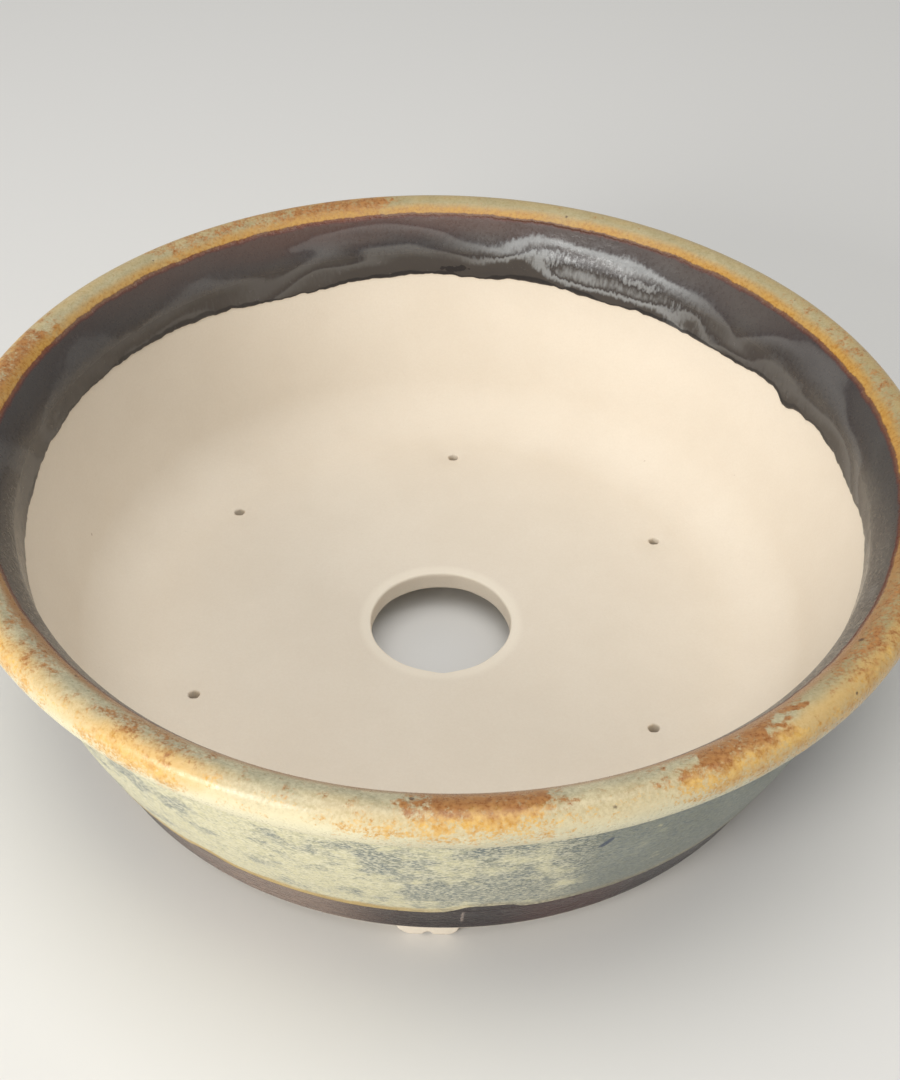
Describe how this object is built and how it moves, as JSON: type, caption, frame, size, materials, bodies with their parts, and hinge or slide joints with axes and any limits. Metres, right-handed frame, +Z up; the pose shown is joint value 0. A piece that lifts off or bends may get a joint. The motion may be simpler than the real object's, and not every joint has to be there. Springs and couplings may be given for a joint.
{
  "type": "bonsai pot",
  "caption": "Shallow round stoneware bonsai pot with a rolled overhanging rim, a foot band, low feet, a wide drain hole and small wiring holes.",
  "frame": {"origin": "on the ground under the middle of the pot, where the pot's own axis meets the plane of the feet", "axes": "+Z up along the pot's axis; -Y is the front, towards the foot that shows; +X is to the right seen from the front"},
  "size_m": [0.356, 0.356, 0.114],
  "materials": {
    "bare_clay": "matte",
    "wall_glaze": "satin",
    "rim_glaze": "gloss",
    "dark_glaze": "gloss"
  },
  "bodies": {
    "root": {"floor_slab": "bare_clay", "wall": "wall_glaze", "rim": "rim_glaze", "foot_band": "dark_glaze", "front_foot": "bare_clay", "right_rear_foot": "bare_clay", "left_rear_foot": "bare_clay"}
  },
  "joints": []
}
